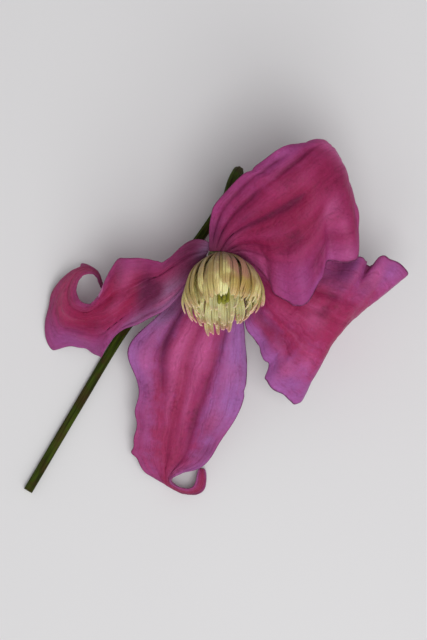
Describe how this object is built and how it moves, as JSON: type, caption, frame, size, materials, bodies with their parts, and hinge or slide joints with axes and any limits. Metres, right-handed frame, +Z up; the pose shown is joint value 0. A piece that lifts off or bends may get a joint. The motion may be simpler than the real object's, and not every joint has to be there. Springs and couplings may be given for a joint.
{
  "type": "clematis flower",
  "caption": "Picked clematis flower lying face up: recurved magenta tepals, a creamy boss of stamens round green pistils, and a hooked pedicel.",
  "frame": {"origin": "middle of the footprint, on the surface that the flower lies on", "axes": "+Z up, away from that surface; -Y the way the flower faces and its lower tepal points; +X the side of its right tepal, away from the cut end of the pedicel"},
  "size_m": [0.0768, 0.0714, 0.0324],
  "materials": {
    "tepal": "satin",
    "stamen": "matte",
    "pistil": "matte",
    "receptacle": "matte",
    "pedicel": "satin"
  },
  "bodies": {
    "root": {"tepal_upper": "tepal", "tepal_right": "tepal", "tepal_lower": "tepal", "tepal_left": "tepal", "pedicel": "pedicel", "receptacle": "receptacle", "stamen_01": "stamen", "stamen_02": "stamen", "stamen_03": "stamen", "stamen_04": "stamen", "stamen_05": "stamen", "stamen_06": "stamen", "stamen_07": "stamen", "stamen_08": "stamen", "stamen_09": "stamen", "stamen_10": "stamen", "stamen_11": "stamen", "stamen_12": "stamen", "stamen_13": "stamen", "stamen_14": "stamen", "stamen_15": "stamen", "stamen_16": "stamen", "stamen_17": "stamen", "stamen_18": "stamen", "stamen_19": "stamen", "stamen_20": "stamen", "stamen_21": "stamen", "stamen_22": "stamen", "stamen_23": "stamen", "stamen_24": "stamen", "stamen_25": "stamen", "stamen_26": "stamen", "stamen_27": "stamen", "stamen_28": "stamen", "stamen_29": "stamen", "stamen_30": "stamen", "stamen_31": "stamen", "stamen_32": "stamen", "stamen_33": "stamen", "stamen_34": "stamen", "stamen_35": "stamen", "stamen_36": "stamen", "stamen_37": "stamen", "stamen_38": "stamen", "stamen_39": "stamen", "stamen_40": "stamen", "stamen_41": "stamen", "stamen_42": "stamen", "stamen_43": "stamen", "stamen_44": "stamen", "stamen_45": "stamen", "stamen_46": "stamen", "stamen_47": "stamen", "stamen_48": "stamen", "pistil_01": "pistil", "pistil_02": "pistil", "pistil_03": "pistil", "pistil_04": "pistil", "pistil_05": "pistil", "pistil_06": "pistil"}
  },
  "joints": []
}
